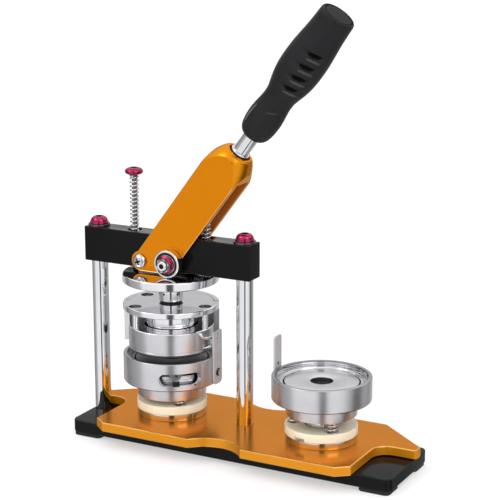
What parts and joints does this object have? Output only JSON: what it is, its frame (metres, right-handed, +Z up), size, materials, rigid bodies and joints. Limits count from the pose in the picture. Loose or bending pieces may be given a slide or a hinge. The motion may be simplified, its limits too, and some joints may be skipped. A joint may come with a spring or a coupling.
{
  "type": "button badge maker",
  "caption": "Hand lever press for button badges: a turning plate carries twin lower dies under a roller-driven ram with return springs, on a weighted base.",
  "frame": {"origin": "on the floor under the pivot column, which is the middle of the base", "axes": "+Z up, +X along the beam from the fixed column to the pivot column, +Y to the back"},
  "size_m": [0.2824, 0.1018, 0.3507],
  "materials": {
    "base_black": "satin black",
    "foot_rubber": "matte",
    "chrome_bar": "polished",
    "beam_black": "gloss black",
    "pink_plated": "bright pink plating",
    "return_bolt": "pink plated head, bright shank",
    "washer_steel": "dark",
    "orange_anodised": "satin orange anodised",
    "ivory_nylon": "moulded",
    "grip_black": "soft moulded",
    "bush_brass": "turned",
    "spring_steel": "bright wire",
    "polished_steel": "polished",
    "bearing_steel": "ground",
    "turned_steel": "turned"
  },
  "bodies": {
    "frame": {"base_plate": "base_black", "left_cap_screw": "pink_plated", "left_cap_washer": "washer_steel", "left_column": "chrome_bar", "left_return_spring": "spring_steel", "pivot_pin": "polished_steel", "right_cap_screw": "pink_plated", "right_cap_washer": "washer_steel", "right_column": "chrome_bar", "right_return_spring": "spring_steel", "rubber_foot_bl": "foot_rubber", "rubber_foot_br": "foot_rubber", "rubber_foot_fl": "foot_rubber", "rubber_foot_fr": "foot_rubber", "top_beam": "beam_black"},
    "turntable": {"rotary_plate": "orange_anodised", "pivot_bush": "bush_brass", "left_die_post": "turned_steel", "left_cam_ring": "ivory_nylon", "left_anvil": "turned_steel", "left_die_spring_1": "spring_steel", "left_die_spring_2": "spring_steel", "left_die_spring_3": "spring_steel", "right_die_post": "turned_steel", "right_cam_ring": "ivory_nylon", "right_anvil": "turned_steel", "right_die_spring_1": "spring_steel", "right_die_spring_2": "spring_steel", "right_die_spring_3": "spring_steel"},
    "left_cup": {"left_cup": "turned_steel", "left_cup_flange": "turned_steel", "left_strip": "polished_steel", "left_strip_screw": "turned_steel"},
    "right_cup": {"right_cup": "turned_steel", "right_cup_flange": "turned_steel", "right_strip": "polished_steel", "right_strip_screw": "turned_steel"},
    "ram": {"pressure_disc": "polished_steel", "ram_shaft": "polished_steel", "upper_flange": "polished_steel", "punch": "turned_steel", "left_return_bolt": "return_bolt", "right_return_bolt": "return_bolt"},
    "ring": {"upper_ring": "turned_steel", "guide_sleeve": "turned_steel", "ring_bolt_1": "turned_steel", "ring_bolt_2": "turned_steel", "ring_bolt_3": "turned_steel", "ring_wire_clip": "polished_steel"},
    "lever": {"lever_fork": "orange_anodised", "lever_rod": "chrome_bar", "rod_lock_nut": "polished_steel", "lever_grip": "grip_black", "front_axle": "turned_steel", "rear_axle": "turned_steel", "front_axle_nut": "pink_plated", "rear_axle_nut": "pink_plated"},
    "front_roller": {"front_roller": "bearing_steel"},
    "rear_roller": {"rear_roller": "bearing_steel"}
  },
  "joints": [
    {"name": "plate_turn", "type": "hinge", "parent": "frame", "child": "turntable", "pos_m": [0, 0, 0.0172], "axis": [0, 0, 1], "range_deg": [-180, 0]},
    {"name": "left_cup_float", "type": "slide", "parent": "turntable", "child": "left_cup", "axis": [0, 0, -1], "range_m": [0, 0.004], "stiffness_N_per_m": 2500, "springref_m": -0.008, "deforming": ["left_die_spring_1", "left_die_spring_2", "left_die_spring_3"]},
    {"name": "right_cup_float", "type": "slide", "parent": "turntable", "child": "right_cup", "axis": [0, 0, -1], "range_m": [0, 0.007], "stiffness_N_per_m": 2500, "springref_m": -0.008, "deforming": ["right_die_spring_1", "right_die_spring_2", "right_die_spring_3"]},
    {"name": "lever_swing", "type": "hinge", "parent": "frame", "child": "lever", "pos_m": [-0.08568, 0, 0.14572], "axis": [0, 1, 0], "range_deg": [0, 38]},
    {"name": "ram_slide", "type": "slide", "parent": "frame", "child": "ram", "axis": [0, 0, -1], "range_m": [0, 0.0188], "stiffness_N_per_m": 900, "springref_m": -0.05, "deforming": ["left_return_spring", "right_return_spring"]},
    {"name": "ring_retract", "type": "slide", "parent": "ram", "child": "ring", "axis": [0, 0, 1], "range_m": [0, 0.0121]},
    {"name": "front_roller_spin", "type": "hinge", "parent": "lever", "child": "front_roller", "pos_m": [-0.05755, -0.018, 0.14767], "axis": [0, 1, 0], "continuous": true},
    {"name": "rear_roller_spin", "type": "hinge", "parent": "lever", "child": "rear_roller", "pos_m": [-0.05755, 0.018, 0.14767], "axis": [0, 1, 0], "continuous": true}
  ],
  "couplings": [
    {"joint": "ram_slide", "follows": "lever_swing", "m_per_rad": 0.0282},
    {"joint": "ring_retract", "follows": "lever_swing", "m_per_rad": 0.018}
  ]
}
